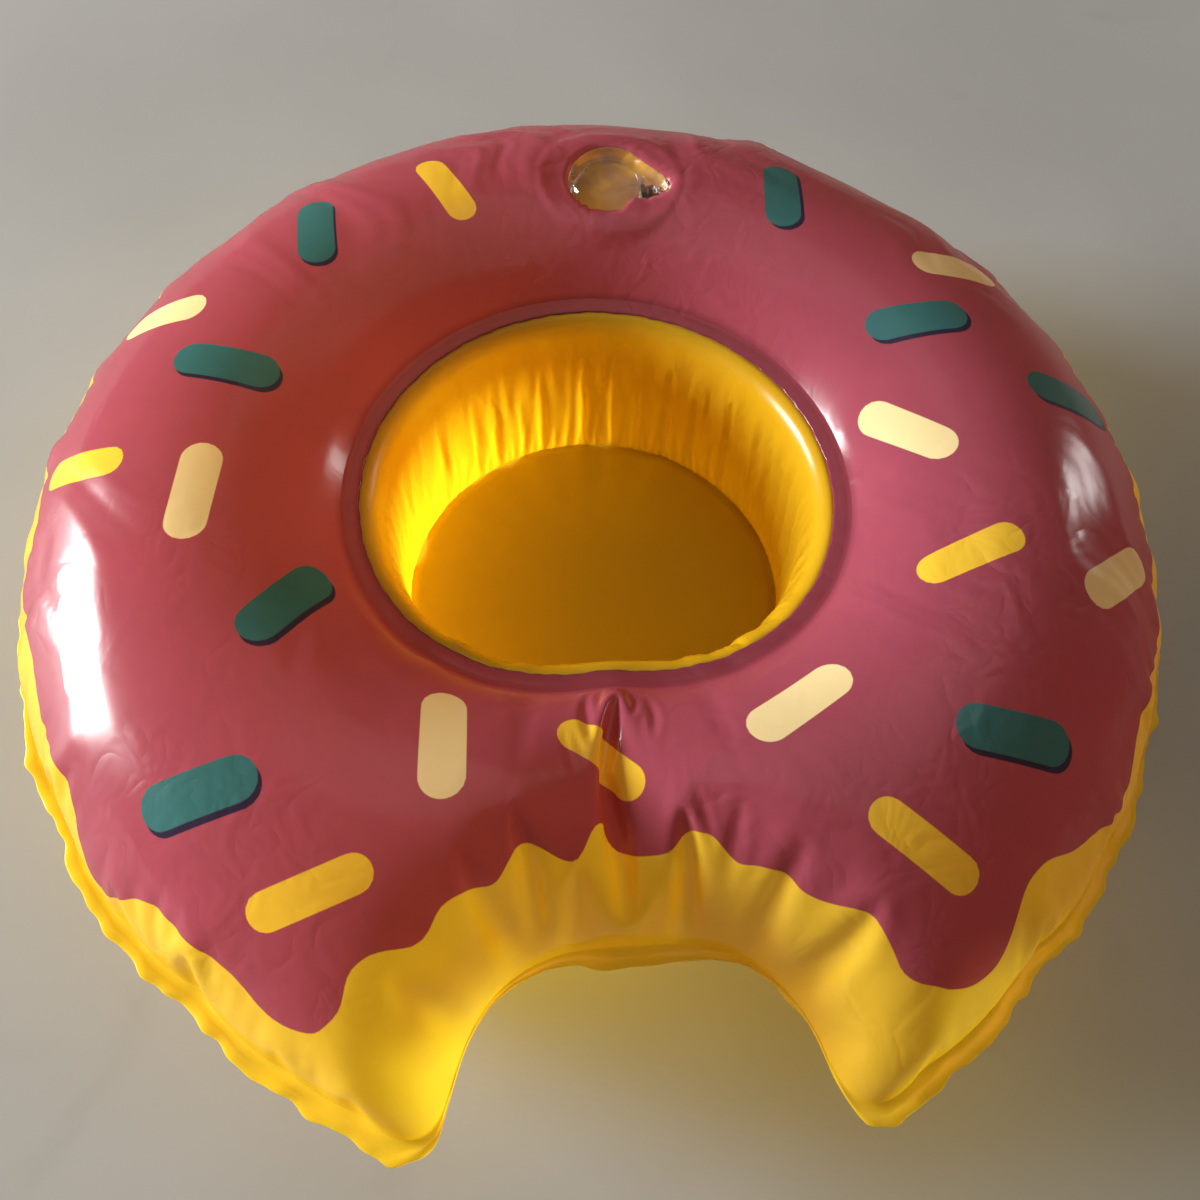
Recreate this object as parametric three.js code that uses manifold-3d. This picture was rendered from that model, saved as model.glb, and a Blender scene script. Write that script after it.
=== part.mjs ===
// Inflatable drink holder in the shape of a doughnut with a bite out of its front.
// Two sheets of film are welded round their outer edge and blown up into a fat ring. A sleeve of
// film lines the hole, a flat film closes it low down, and the cup that they make holds a can.
// A clear stopper valve sits in the top film at the back.
// Millimetres, +Z up. The bite faces -Y. The origin is the bottom centre of the bounding box.

import * as THREE from "three";
import { mergeVertices } from "three/addons/utils/BufferGeometryUtils.js";
import Module from "manifold-3d";

const wasm = await Module();
wasm.setup();

// ---- Driving dimensions, measured from the axis of the cup -------------------------------------

// the cup
const WELD_R = 40.5; // weld line between the top film and the sleeve
const MOUTH_R = 37.5; // free edge of that weld's lip
const FLOOR_R = 34.6; // film that closes the bottom of the cup
const CUP_DEPTH = 33; // from the lip down to the cup floor
const FILM = 0.8; // thickness given to each film
const GAP = 0.3; // clearance between neighbouring pieces

// the outer seam once the ring is blown up, seen from above
const OUTER_R = 96.5; // circle through the back, the flanks and the horns
const OUTER_Y = -0.8; // its centre
const BITE_R = 28; // circle of the bite
const BITE_Y = -98; // its centre
const HORN_R = 4; // round tip of the horn on each side of the bite

// the blown-up section
const FULLNESS = 0.84; // 1 would be a round section, less is flatter
const SQUASH = 1.8; // how far the film flattens on the table
const FIN_WIDTH = 3; // welded flash that stands out all round the seam
const FIN_THICKNESS = 0.7;
const PUCKERS = 30; // gathers that run in from the seam
const PUCKER_DEPTH = 0.12; // as a share of the local height
const CREASE_DEPTH = 0.2; // fold from the hole to the bite, as a share of the local height
const CREASE_WIDTH = 4;

// mesh of the ring
const STATIONS = 4 * PUCKERS; // sections round the ring, four to a pucker
const ROWS = 12; // rows of film from the seam to the hole
const WALL_ROWS = 2;

// the valve, on the crest at the back
const VALVE_X = 6.5;
const VALVE_Y = 63.5;
const VALVE_R = 8; // outside of the tube
const VALVE_DEPTH = 11;
const VALVE_WALL = 1;
const CAP_THICKNESS = 1.4;
const TONGUE_REACH = 11.5; // from the valve's axis to the tip of the stopper's tongue
const TONGUE_TIP_R = 1.2;
const TONGUE_TURN = -12; // degrees from +X towards the tongue

// ---- Outline of the seam ------------------------------------------------------------------------

// The seam as one closed row of evenly spaced points, from the back round by the left-hand horn.
// Each horn's tip is an arc that touches the outer circle from inside and the bite from outside.
function seamOutline(count) {
  const reach = OUTER_R - HORN_R;
  const clear = BITE_R + HORN_R;
  const drop = BITE_Y - OUTER_Y;
  const y = (reach ** 2 - clear ** 2 + drop ** 2) / (2 * drop);
  const hornX = Math.sqrt(reach ** 2 - y ** 2);
  const hornY = y + OUTER_Y;
  const outerTurn = Math.atan2(y, hornX);
  const biteTurn = Math.atan2(hornY - BITE_Y, hornX);
  const outline = new THREE.CurvePath();
  outline.add(arc(0, OUTER_Y, OUTER_R, Math.PI / 2, Math.PI - outerTurn, false));
  outline.add(arc(-hornX, hornY, HORN_R, Math.PI - outerTurn, -biteTurn, false));
  outline.add(arc(0, BITE_Y, BITE_R, Math.PI - biteTurn, biteTurn, true));
  outline.add(arc(hornX, hornY, HORN_R, Math.PI + biteTurn, outerTurn, false));
  outline.add(arc(0, OUTER_Y, OUTER_R, outerTurn, Math.PI / 2, false));
  outline.arcLengthDivisions = 2000;
  return Array.from({ length: count }, (_, i) => outline.getPointAt(i / count));
}

function arc(x, y, radius, start, end, clockwise) {
  return new THREE.EllipseCurve(x, y, radius, radius, start, end, clockwise);
}

// ---- The film between the seam and the hole -----------------------------------------------------

// Plan positions of the film, one row of points for each station: from the seam in to the weld
// round the hole. Rows crowd towards the seam, where the film turns over.
function filmPlan(seam) {
  return seam.map((point, i) => {
    const even = Math.PI / 2 + (2 * Math.PI * i) / seam.length;
    const bearing = Math.atan2(point.y, point.x);
    const apart = Math.atan2(Math.sin(bearing - even), Math.cos(bearing - even));
    const turn = even + apart / 2;
    const hole = new THREE.Vector2(Math.cos(turn), Math.sin(turn)).multiplyScalar(WELD_R);
    return Array.from({ length: ROWS + 1 }, (_, j) => {
      const along = 1 - Math.cos((Math.PI / 2) * (j / ROWS));
      return point.clone().lerp(hole, along);
    });
  });
}

// Half the thickness of the blown-up ring at each point of the plan. Its square solves Poisson's
// equation: nothing at the seam, half the cup's depth squared at the hole, and the same pressure
// everywhere between. Solved by over-relaxation with cotangent weights.
function halfThickness(plan) {
  const stations = plan.length;
  const key = (i, j) => (i % stations) * (ROWS + 1) + j;
  const spots = plan.flat();
  const links = spots.map(() => new Map());
  const area = new Float64Array(spots.length);
  const link = (a, b, weight) => {
    links[a].set(b, (links[a].get(b) ?? 0) + weight);
    links[b].set(a, (links[b].get(a) ?? 0) + weight);
  };
  const triangle = (...corner) => {
    const [a, b, c] = corner.map((k) => spots[k]);
    const twice = Math.abs((b.x - a.x) * (c.y - a.y) - (b.y - a.y) * (c.x - a.x));
    corner.forEach((k, n) => {
      const [p, q] = [corner[(n + 1) % 3], corner[(n + 2) % 3]];
      const u = spots[p].clone().sub(spots[k]);
      const v = spots[q].clone().sub(spots[k]);
      link(p, q, u.dot(v) / twice / 2);
      area[k] += twice / 6;
    });
  };
  for (let i = 0; i < stations; i++) {
    for (let j = 0; j < ROWS; j++) {
      triangle(key(i, j), key(i + 1, j), key(i + 1, j + 1));
      triangle(key(i, j), key(i + 1, j + 1), key(i, j + 1));
    }
  }
  const square = new Float64Array(spots.length);
  for (let i = 0; i < stations; i++) square[key(i, ROWS)] = (CUP_DEPTH / 2) ** 2;
  const sweeps = 400;
  const overshoot = 1.8;
  for (let sweep = 0; sweep < sweeps; sweep++) {
    for (let i = 0; i < stations; i++) {
      for (let j = 1; j < ROWS; j++) {
        const k = key(i, j);
        let pull = 2 * FULLNESS * area[k];
        let total = 0;
        for (const [other, weight] of links[k]) {
          pull += weight * square[other];
          total += weight;
        }
        square[k] += overshoot * (pull / total - square[k]);
      }
    }
  }
  return plan.map((row, i) => row.map((_, j) => Math.sqrt(Math.max(0, square[key(i, j)]))));
}

// Gathers near the seam, and the one deep fold where the film is narrowest.
function gather(height, spot, i, j) {
  const fade = Math.sin((Math.PI * j) / ROWS) * (1 - j / ROWS) ** 2;
  const pucker = 1 + PUCKER_DEPTH * fade * Math.cos((2 * Math.PI * PUCKERS * i) / STATIONS);
  const inCrease = spot.y < 0 ? Math.exp(-((spot.x / CREASE_WIDTH) ** 2)) : 0;
  const crease = 1 - CREASE_DEPTH * inCrease * Math.sin((Math.PI * j) / ROWS);
  return height * pucker * crease;
}

// ---- Closed meshes ------------------------------------------------------------------------------

// A closed body from rows of points that join up both ways, like a bent tube.
function bentTube(rows) {
  const count = rows[0].length;
  const index = [];
  const at = (r, c) => (r % rows.length) * count + (c % count);
  for (let r = 0; r < rows.length; r++) {
    for (let c = 0; c < count; c++) {
      index.push(at(r, c), at(r, c + 1), at(r + 1, c + 1));
      index.push(at(r, c), at(r + 1, c + 1), at(r + 1, c));
    }
  }
  const geometry = new THREE.BufferGeometry().setFromPoints(rows.flat());
  geometry.setIndex(index);
  return facingOut(geometry);
}

// Turns every face over when the body is inside out.
function facingOut(geometry) {
  const place = geometry.getAttribute("position");
  const index = geometry.getIndex();
  const [a, b, c] = [new THREE.Vector3(), new THREE.Vector3(), new THREE.Vector3()];
  let volume = 0;
  for (let k = 0; k < index.count; k += 3) {
    a.fromBufferAttribute(place, index.getX(k));
    b.fromBufferAttribute(place, index.getX(k + 1));
    c.fromBufferAttribute(place, index.getX(k + 2));
    volume += a.dot(b.cross(c));
  }
  if (volume < 0) {
    for (let k = 0; k < index.count; k += 3) {
      const swap = index.getX(k + 1);
      index.setX(k + 1, index.getX(k + 2));
      index.setX(k + 2, swap);
    }
  }
  return geometry;
}

function toSolid(geometry) {
  const merged = mergeVertices(stripped(geometry.clone()), 1e-4);
  return new wasm.Manifold(
    new wasm.Mesh({
      numProp: 3,
      vertProperties: Float32Array.from(merged.getAttribute("position").array),
      triVerts: Uint32Array.from(merged.getIndex().array),
    }),
  );
}

function toGeometry(solid) {
  const mesh = solid.getMesh();
  const geometry = new THREE.BufferGeometry();
  geometry.setAttribute("position", new THREE.BufferAttribute(mesh.vertProperties, 3));
  geometry.setIndex(new THREE.BufferAttribute(mesh.triVerts, 1));
  return geometry;
}

// A round body about +Z from a closed profile of [radius, height] pairs.
function turned(profile, segments) {
  const points = [...profile, profile[0]].map(([radius, height]) => new THREE.Vector2(radius, height));
  const geometry = new THREE.LatheGeometry(points, segments);
  geometry.rotateX(Math.PI / 2);
  return facingOut(mergeVertices(stripped(geometry), 1e-4));
}

function stripped(geometry) {
  geometry.deleteAttribute("normal");
  geometry.deleteAttribute("uv");
  return geometry;
}

// ---- Pieces -------------------------------------------------------------------------------------

const seam = seamOutline(STATIONS);
const plan = filmPlan(seam);
const blownUp = halfThickness(plan);
const crest = Math.max(...blownUp.flat());
const seamHeight = crest - SQUASH;
const mouthHeight = seamHeight + CUP_DEPTH / 2;
const floorHeight = seamHeight - CUP_DEPTH / 2;
const across = plan.map((row, i) => row.map((spot, j) => gather(blownUp[i][j], spot, i, j)));
const valveSpot = new THREE.Vector2(VALVE_X, VALVE_Y);
const underValve = across.flat().filter((_, k) => plan.flat()[k].distanceTo(valveSpot) < TONGUE_REACH);
const valveHeight = seamHeight + Math.max(...underValve);

// The air chamber: top film, wall of the hole, bottom film and the fin of the outer weld.
function airRing() {
  const stations = [...seam.keys()];
  const top = (j) =>
    stations.map((i) => {
      const lift = j === 0 ? FIN_THICKNESS / 2 : across[i][j];
      return new THREE.Vector3(plan[i][j].x, plan[i][j].y, seamHeight + lift);
    });
  const bottom = (j) =>
    stations.map((i) => {
      const spot = plan[i][j];
      const inward = ((WELD_R - FLOOR_R - FILM) * j) / ROWS / spot.length();
      const lift = j === 0 ? FIN_THICKNESS / 2 : across[i][j];
      const height = Math.max(0, seamHeight - lift);
      return new THREE.Vector3(spot.x * (1 - inward), spot.y * (1 - inward), height);
    });
  const wall = (share) => {
    const [high, low] = [top(ROWS), bottom(ROWS)];
    return stations.map((i) => high[i].clone().lerp(low[i], share));
  };
  const fin = (side) =>
    stations.map((i) => {
      const before = seam[(i + STATIONS - 1) % STATIONS];
      const after = seam[(i + 1) % STATIONS];
      const outward = new THREE.Vector2(after.y - before.y, before.x - after.x);
      const tip = outward.setLength(FIN_WIDTH).add(seam[i]);
      return new THREE.Vector3(tip.x, tip.y, seamHeight + (side * FIN_THICKNESS) / 2);
    });
  const rows = [];
  for (let j = 0; j <= ROWS; j++) rows.push(top(j));
  for (let w = 1; w <= WALL_ROWS; w++) rows.push(wall(w / (WALL_ROWS + 1)));
  for (let j = ROWS; j >= 0; j--) rows.push(bottom(j));
  rows.push(fin(-1), fin(1));
  const pocket = new THREE.CylinderGeometry(
    VALVE_R + GAP,
    VALVE_R + GAP,
    2 * VALVE_DEPTH + 2 * GAP,
    32,
  );
  pocket.rotateX(Math.PI / 2);
  pocket.translate(VALVE_X, VALVE_Y, valveHeight);
  return toGeometry(toSolid(bentTube(rows)).subtract(toSolid(pocket)));
}

// The film that lines the hole, with the weld's lip turned in round its mouth.
function cupSleeve() {
  const top = mouthHeight;
  const foot = floorHeight + FILM + GAP;
  return turned(
    [
      [MOUTH_R, top],
      [WELD_R - GAP, top],
      [WELD_R - GAP, top - FILM],
      [FLOOR_R + FILM - GAP, foot],
      [FLOOR_R - GAP, foot],
      [WELD_R - GAP - FILM, top - FILM * 2],
      [MOUTH_R, top - FILM],
    ],
    60,
  );
}

// The film across the bottom of the cup, clear of the table.
function cupFloor() {
  return turned(
    [
      [0, floorHeight],
      [FLOOR_R, floorHeight],
      [FLOOR_R, floorHeight + FILM],
      [0, floorHeight + FILM],
    ],
    60,
  );
}

// The valve's tube, sunk in the air chamber and closed by its flap at the foot.
function valveBody() {
  const bore = VALVE_R - VALVE_WALL;
  const foot = valveHeight - VALVE_DEPTH;
  return turned(
    [
      [0, foot],
      [VALVE_R, foot],
      [VALVE_R, valveHeight],
      [bore, valveHeight],
      [bore, foot + VALVE_WALL],
      [0, foot + VALVE_WALL],
    ],
    32,
  );
}

// The stopper: a pear-shaped cap with a pull tongue, and a hollow plug pressed into the tube.
function valvePlug() {
  const lean = Math.acos((VALVE_R - TONGUE_TIP_R) / (TONGUE_REACH - TONGUE_TIP_R));
  const pear = new THREE.Shape();
  pear.absarc(0, 0, VALVE_R, lean, 2 * Math.PI - lean, false);
  pear.absarc(TONGUE_REACH - TONGUE_TIP_R, 0, TONGUE_TIP_R, -lean, lean, false);
  const cap = new THREE.ExtrudeGeometry(pear, {
    depth: CAP_THICKNESS,
    bevelEnabled: false,
    curveSegments: 24,
  });
  cap.translate(0, 0, valveHeight + GAP);
  const plugR = VALVE_R - VALVE_WALL - GAP;
  const plugFoot = valveHeight - VALVE_DEPTH / 2;
  const plug = turned(
    [
      [0, plugFoot],
      [plugR, plugFoot],
      [plugR, valveHeight + GAP + CAP_THICKNESS / 2],
      [0, valveHeight + GAP + CAP_THICKNESS / 2],
    ],
    32,
  );
  return toGeometry(toSolid(cap).add(toSolid(plug)));
}

// ---- Materials and assembly ---------------------------------------------------------------------

function vinyl(color, options = {}) {
  return new THREE.MeshStandardMaterial({ color, roughness: 0.3, metalness: 0, ...options });
}

const icingPink = vinyl(0x9a4854);
const doughYellow = vinyl(0xe8b020);
const floorOchre = vinyl(0xb07810);
const clearVinyl = vinyl(0xe8e4dc, { transparent: true, opacity: 0.5, roughness: 0.1 });

function piece(name, geometry, material) {
  const mesh = new THREE.Mesh(geometry, material);
  mesh.name = name;
  return mesh;
}

const valve = new THREE.Group();
valve.add(piece("valve_body", valveBody(), clearVinyl));
valve.add(piece("valve_plug", valvePlug(), clearVinyl));
valve.position.set(VALVE_X, VALVE_Y, 0);
valve.rotation.z = THREE.MathUtils.degToRad(TONGUE_TURN);

const doughnut = new THREE.Group();
doughnut.add(piece("air_ring", airRing(), icingPink));
doughnut.add(piece("cup_sleeve", cupSleeve(), doughYellow));
doughnut.add(piece("cup_floor", cupFloor(), floorOchre));
doughnut.add(valve);

// The cup's axis stands a little in front of the middle of the box, towards the bite.
const box = new THREE.Box3().setFromObject(doughnut);
doughnut.position.y = -(box.min.y + box.max.y) / 2;

const group = new THREE.Group();
group.add(doughnut);

export default group;
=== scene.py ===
import bpy
import numpy as np
from mathutils import Matrix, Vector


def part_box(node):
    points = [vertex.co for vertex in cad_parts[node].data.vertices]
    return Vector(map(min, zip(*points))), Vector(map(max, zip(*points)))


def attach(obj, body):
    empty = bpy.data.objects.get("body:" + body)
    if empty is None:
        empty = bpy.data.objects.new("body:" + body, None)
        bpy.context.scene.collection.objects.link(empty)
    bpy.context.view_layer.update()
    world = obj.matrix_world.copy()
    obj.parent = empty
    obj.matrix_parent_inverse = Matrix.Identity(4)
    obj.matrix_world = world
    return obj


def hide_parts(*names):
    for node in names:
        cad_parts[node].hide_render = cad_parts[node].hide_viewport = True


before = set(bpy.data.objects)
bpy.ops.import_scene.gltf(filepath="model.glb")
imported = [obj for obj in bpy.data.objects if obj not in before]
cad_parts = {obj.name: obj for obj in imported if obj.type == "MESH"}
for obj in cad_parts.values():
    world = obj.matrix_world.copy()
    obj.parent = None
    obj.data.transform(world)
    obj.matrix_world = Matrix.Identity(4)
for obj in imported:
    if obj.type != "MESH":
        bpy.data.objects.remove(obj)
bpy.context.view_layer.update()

# ---------------------------------------------------------------------------------------------
# Camera. The drink holder is seen by someone standing over the table, with the bite in front.
# The eye is measured from the point on the table under the middle of the cup.
# ---------------------------------------------------------------------------------------------
MM = 0.001
floor_low, floor_high = [np.array(corner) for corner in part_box("cup_floor")]
CUP_AXIS = np.array([0.0, (floor_low[1] + floor_high[1]) / 2, 0.0])
EYE = np.array([-11.1, -100.2, 189.4]) * MM + CUP_AXIS
LENS_MM = 32.5
SENSOR_MM = 36.0
PITCH, YAW, ROLL = np.radians([61.0, 7.0, 3.1])

ahead = np.array([np.sin(YAW) * np.cos(PITCH), np.cos(YAW) * np.cos(PITCH), -np.sin(PITCH)])
level = np.array([np.cos(YAW), -np.sin(YAW), 0.0])
above = np.cross(level, ahead)
right = np.cos(ROLL) * level + np.sin(ROLL) * above
up = np.cos(ROLL) * above - np.sin(ROLL) * level

camera = bpy.data.objects.new("camera", bpy.data.cameras.new("camera"))
camera.data.lens, camera.data.sensor_width = LENS_MM, SENSOR_MM
camera.data.clip_start, camera.data.clip_end = 0.01, 20.0
camera.matrix_world = Matrix(
    [[right[k], up[k], -ahead[k], EYE[k]] for k in range(3)] + [[0, 0, 0, 1]]
)
bpy.context.scene.collection.objects.link(camera)
bpy.context.scene.camera = camera

# ---------------------------------------------------------------------------------------------
# Air ring. Two sheets of soft vinyl, the upper one printed, are cut to a bitten doughnut and
# welded round the edge. The sleeve that lines the hole is welded to both. Air then blows the
# flat pattern up: the seam draws in and puckers because the film can fold but not stretch.
# ---------------------------------------------------------------------------------------------
OUTER_CUT = 110.5
BITE_CENTRE = -126.5
BITE_CUT = 42.0
HORN_CUT = 9.0
WELD = 38.0
FLOOR_WELD = 34.6
SLEEVE_CUT = 35.0
DAMPING, RELAXATION = np.float32(0.95), np.float32(0.45)
UP = np.array([0.0, 0.0, 1.0])


def cut_edge(stations):
    """Points on the sheets' cut edge in mm, walked the same way round at even steps from the
    back: the doughnut's circle, a small round at each horn's tip, and the bite's circle. The
    horn's centre lies at OUTER_CUT - HORN_CUT from the cup's axis and at BITE_CUT + HORN_CUT
    from the bite's centre."""
    far, near = OUTER_CUT - HORN_CUT, BITE_CUT + HORN_CUT
    y = (far**2 - near**2 + BITE_CENTRE**2) / (2 * BITE_CENTRE)
    x = np.sqrt(far**2 - y**2)
    out, into = np.arctan2(y, x), np.arctan2(y - BITE_CENTRE, x)
    arcs = [
        (0, 0, OUTER_CUT, np.pi / 2, np.pi - out),
        (-x, y, HORN_CUT, np.pi - out, 2 * np.pi - into),
        (0, BITE_CENTRE, BITE_CUT, np.pi - into, into),
        (x, y, HORN_CUT, into + np.pi, out + 2 * np.pi),
        (0, 0, OUTER_CUT, out, np.pi / 2),
    ]
    path = []
    for cx, cy, radius, start, end in arcs:
        turn = np.linspace(start, end, int(abs(end - start) * radius * 10), endpoint=False)
        path.append(np.stack([cx + radius * np.cos(turn), cy + radius * np.sin(turn)], 1))
    path = np.concatenate(path + [path[0][:1]])
    walked = np.concatenate([[0], np.cumsum(np.hypot(*np.diff(path, axis=0).T))])
    even = np.linspace(0, walked[-1], stations, endpoint=False)
    return np.stack([np.interp(even, walked, path[:, k]) for k in (0, 1)], 1)


def flat_sheets(stations, rows):
    """The three films before any air, each as (stations, rows + 1, 3) points in mm: the upper
    sheet from its cut edge to the weld, the sleeve as a straight strip from the weld down, and
    the lower sheet from the floor out to the cut edge. A row is a straight blend of its ends,
    and a station's bearing at the hole is halfway between the edge's bearing and an even one.
    The strip is longer than the floor's rim, so it is gathered there."""
    edge = cut_edge(stations)
    even = np.pi / 2 + np.linspace(0, 2 * np.pi, stations, endpoint=False)
    turn = (np.unwrap(np.arctan2(edge[:, 1], edge[:, 0])) + even) / 2
    spoke = np.stack([np.cos(turn), np.sin(turn), 0 * turn], 1)[:, None]
    edge = np.column_stack([edge, 0 * turn])[:, None]
    t_top, t_wall, t_low = [np.linspace(0, 1, m + 1)[None, :, None] for m in rows]
    top = edge * (1 - t_top) + WELD * spoke * t_top
    wall = WELD * spoke - SLEEVE_CUT * t_wall * UP
    low = FLOOR_WELD * spoke * (1 - t_low) + edge * t_low
    return top, wall, low


def cut_gap(sheets, around, across):
    """Distance on the cut film from each point to the one `around` stations and `across` rows
    on, for every point of the closed grid; 0 where that would pass a weld."""
    found = []
    for sheet in sheets:
        rows = sheet.shape[1] - 1
        there = np.roll(sheet, -around, 0)
        gap = np.zeros((len(sheet), rows))
        if across >= 0:
            span = np.linalg.norm(there[:, across:] - sheet[:, : rows + 1 - across], axis=2)
            gap[:, : span.shape[1]] = span[:, :rows]
        else:
            gap[:] = np.linalg.norm(there[:, :-1] - sheet[:, 1:], axis=2)
        found.append(gap)
    gaps = np.concatenate(found, 1)
    return (np.roll(gaps, 1, 1) if across < 0 else gaps).astype(np.float32)


def pull(film, around, across, rest, stretch, squeeze):
    """How far each point and its partner are moved to bring the gap between them back to
    rest: half the gap's error along the line between them, times `stretch` where the gap is
    too long and `squeeze` where it is too short."""
    link = np.roll(film, (-around, -across), (0, 1)) - film
    length = np.sqrt(np.einsum("ijk,ijk->ij", link, link)) + np.float32(1e-9)
    share = (length - rest) / length
    share *= np.where(share > 0, np.float32(stretch / 2), np.float32(squeeze / 2))
    link *= share[..., None]
    return link, np.roll(link, (around, across), (0, 1))


def surface_normals(film):
    """Unit normals, away from the air, of a grid that closes both ways: the cross product of
    the gaps between each point's neighbours along its row and down its station."""
    side = np.roll(film, -1, 0) - np.roll(film, 1, 0)
    down = np.roll(film, -1, 1) - np.roll(film, 1, 1)
    normal = np.cross(side, down)
    return normal / (np.linalg.norm(normal, axis=2)[..., None] + 1e-9)


def blow_up(film, sheets, steps, press, passes, slack, stiffness):
    """Film points after `steps` small moves. Each move adds the air's push along the surface
    (press times the local area vector) to the last move, times DAMPING, and then, `passes`
    times, lets every thread of the film pull its two ends back to their cut length and moves
    each point by its pulls' sum, times RELAXATION. A squeezed thread has only `slack` times
    the force. Bending is a thread over two cells that only resists getting shorter, with the
    force `stiffness`. The floor's ring stays flat, no wider than it was cut, and the table is
    at z 0."""
    wall_end = sheets[0].shape[1] + sheets[1].shape[1] - 2
    threads = [(0, 1, 1.0), (1, 0, 1.0), (1, 1, 0.5), (1, -1, 0.5)]
    threads = [(a, b, cut_gap(sheets, a, b), k, k * slack) for a, b, k in threads]
    threads.append((2, 0, cut_gap(sheets, 2, 0), 0.0, stiffness))
    threads.append((0, 2, cut_gap(sheets, 0, 2), 0.0, stiffness))
    press = np.float32(press * 0.25 / threads[1][2].mean() ** 2)
    speed = np.zeros_like(film)
    for _ in range(steps):
        side = np.roll(film, -1, 0) - np.roll(film, 1, 0)
        down = np.roll(film, -1, 1) - np.roll(film, 1, 1)
        before = film
        film = film + speed * DAMPING + press * np.cross(side, down)
        for _ in range(passes):
            shift = np.zeros_like(film)
            for around, across, rest, stretch, squeeze in threads:
                here, there = pull(film, around, across, rest, stretch, squeeze)
                shift += here
                shift -= there
            film = film + RELAXATION * shift
            ring = film[:, wall_end]
            middle, height = ring[:, :2].mean(0), ring[:, 2].mean()
            arm = ring[:, :2] - middle
            reach = np.hypot(*arm.T)[:, None]
            film[:, wall_end, :2] = middle + arm * np.minimum(1, FLOOR_WELD / reach)
            film[:, wall_end, 2] = height + 0.2 * (ring[:, 2] - height)
            film[..., 2] = np.maximum(film[..., 2], 0)
        speed = film - before
    return film


def finer_around(film):
    """Twice the stations. A new point takes 9/16 of its two neighbours less 1/16 of the next."""
    between = 9 * (film + np.roll(film, -1, 0)) - np.roll(film, 1, 0) - np.roll(film, -2, 0)
    return np.stack([film, between / 16], 1).reshape((-1,) + film.shape[1:])


def finer_across(film, rows):
    """Twice the rows of each sheet, by the same rule, with a parabola next to the welds."""
    closed = np.concatenate([film, film[:, :1]], 1)
    made, start = [], 0
    for count in rows:
        s = closed[:, start : start + count + 1]
        start += count
        between = (s[:, 1:] + s[:, :-1]) / 2
        between[:, 1:-1] = (9 * (s[:, 1:-2] + s[:, 2:-1]) - s[:, :-3] - s[:, 3:]) / 16
        between[:, 0] = (3 * s[:, 0] + 6 * s[:, 1] - s[:, 2]) / 8
        between[:, -1] = (3 * s[:, -1] + 6 * s[:, -2] - s[:, -3]) / 8
        made.append(np.stack([s[:, :-1], between], 2).reshape(len(s), -1, 3))
    return np.concatenate(made, 1)


TUCK_START, TUCK_END = (-10.0, -42.0), (-6.0, -83.0)
TUCK_DEPTH, TUCK_WIDTH = 14.0, 4.0


def press_tuck(film, sheets, depth, width):
    """The film pushed in by up to depth along the line from the hole to the bite where the
    narrow neck of the upper sheet folds: full on the line, nothing `width` away from it."""
    x, y = sheets[0][:, :-1, 0], sheets[0][:, :-1, 1]
    along = (TUCK_START[1] - y) / (TUCK_START[1] - TUCK_END[1])
    aside = np.abs(x - TUCK_START[0] - (TUCK_END[0] - TUCK_START[0]) * along)
    ends = np.clip(np.minimum(along, 1.15 - along) * 5 + 0.3, 0, 1) * (along > 0) * (y < 0)
    push = np.zeros(film.shape[:2])
    push[:, : x.shape[1]] = np.clip(1 - aside / width, 0, 1) * ends
    return (film - depth * push[..., None] * surface_normals(film)).astype(np.float32)


# The flat films are set a little apart and blown up coarsely. Each later stage doubles the
# grid, shakes it by a hair so that it may pucker, and blows it up again: its moves, the air's
# press, the passes in a move, and the film's slack and stiffness. The neck's fold is pressed in
# once the ring has TUCKED_AT stations.
FIRST_STAGE = (700, 0.004, 2, 0.03, 0.003)
LATER_STAGES = [
    (600, 0.0015, 2, 0.03, 0.003),
    (500, 0.0005, 3, 1.0, 0.15),
    (400, 0.00015, 3, 1.0, 0.15),
]
TUCKED_AT, SHAKE, START_LIFT = 360, 0.05, 6.0
rng = np.random.default_rng(5)
stations, rows = 90, (8, 4, 8)
sheets = flat_sheets(stations, rows)
high, low = SLEEVE_CUT + START_LIFT, START_LIFT
middle = (high + low) / 2
down_top, down_wall, down_low = [np.linspace(0, 1, m + 1)[None, :, None] for m in rows]
crown_top, crown_low = [START_LIFT * np.sin(np.pi * down) for down in (down_top, down_low)]
top = sheets[0] + (middle + (high - middle) * down_top + crown_top) * UP
wall = sheets[1] * [1, 1, 0] + (high + (low - high) * down_wall) * UP
bottom = sheets[2] + (low + (middle - low) * down_low - crown_low) * UP
film = np.concatenate([top[:, :-1], wall[:, :-1], bottom[:, :-1]], 1).astype(np.float32)
film = blow_up(film, sheets, *FIRST_STAGE)
for stage in LATER_STAGES:
    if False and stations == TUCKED_AT:
        break
    film = finer_around(finer_across(film, rows))
    stations, rows = 2 * stations, tuple(2 * m for m in rows)
    film += rng.normal(0, SHAKE, film.shape).astype(np.float32)
    sheets = flat_sheets(stations, rows)
    if stations == TUCKED_AT:
        film = press_tuck(film, sheets, TUCK_DEPTH, TUCK_WIDTH)
    film = blow_up(film, sheets, *stage)
film = film.astype(float)
film[..., :2] -= film[:, rows[0] + rows[1], :2].mean(0)
film[..., 2] -= film[..., 2].min()


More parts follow.
